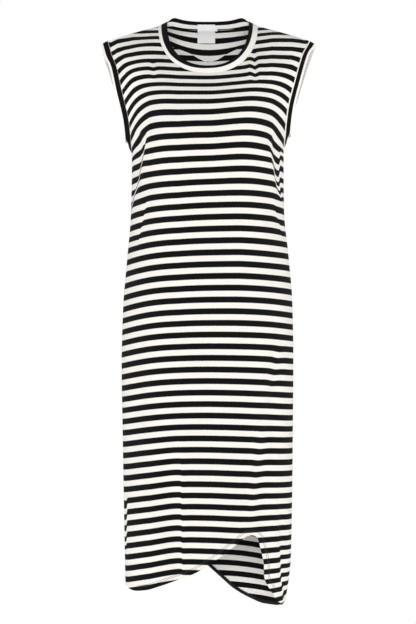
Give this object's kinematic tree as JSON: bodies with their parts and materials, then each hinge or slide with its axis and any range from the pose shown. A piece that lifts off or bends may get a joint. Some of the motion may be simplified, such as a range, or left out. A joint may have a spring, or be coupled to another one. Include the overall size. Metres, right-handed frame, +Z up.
{
  "type": "tank dress",
  "caption": "Sleeveless striped jersey dress with a wide round neck, banded armholes and a curved wrap-look hem, filled out as if worn, hollow inside.",
  "frame": {"origin": "on the shoulder line midway between the shoulders, where the wearer holds the dress up", "axes": "+Z up towards the neck, front of the dress towards -Y, +X towards the image's right"},
  "size_m": [0.4409, 0.2521, 1.2044],
  "materials": {
    "striped_jersey": "soft matt single jersey in black and off-white stripes",
    "band_jersey": "the same jersey folded lengthwise, off-white beside black",
    "black_binding": "matt black knit tape",
    "woven_label": "close satin weave, bare"
  },
  "bodies": {
    "root": {"front_panel": "striped_jersey", "back_panel": "striped_jersey", "back_neck_facing": "striped_jersey", "neck_band": "band_jersey", "armhole_band_left": "band_jersey", "armhole_band_right": "band_jersey", "back_hem_binding": "black_binding", "neck_label": "woven_label", "size_tab": "woven_label"}
  },
  "joints": []
}
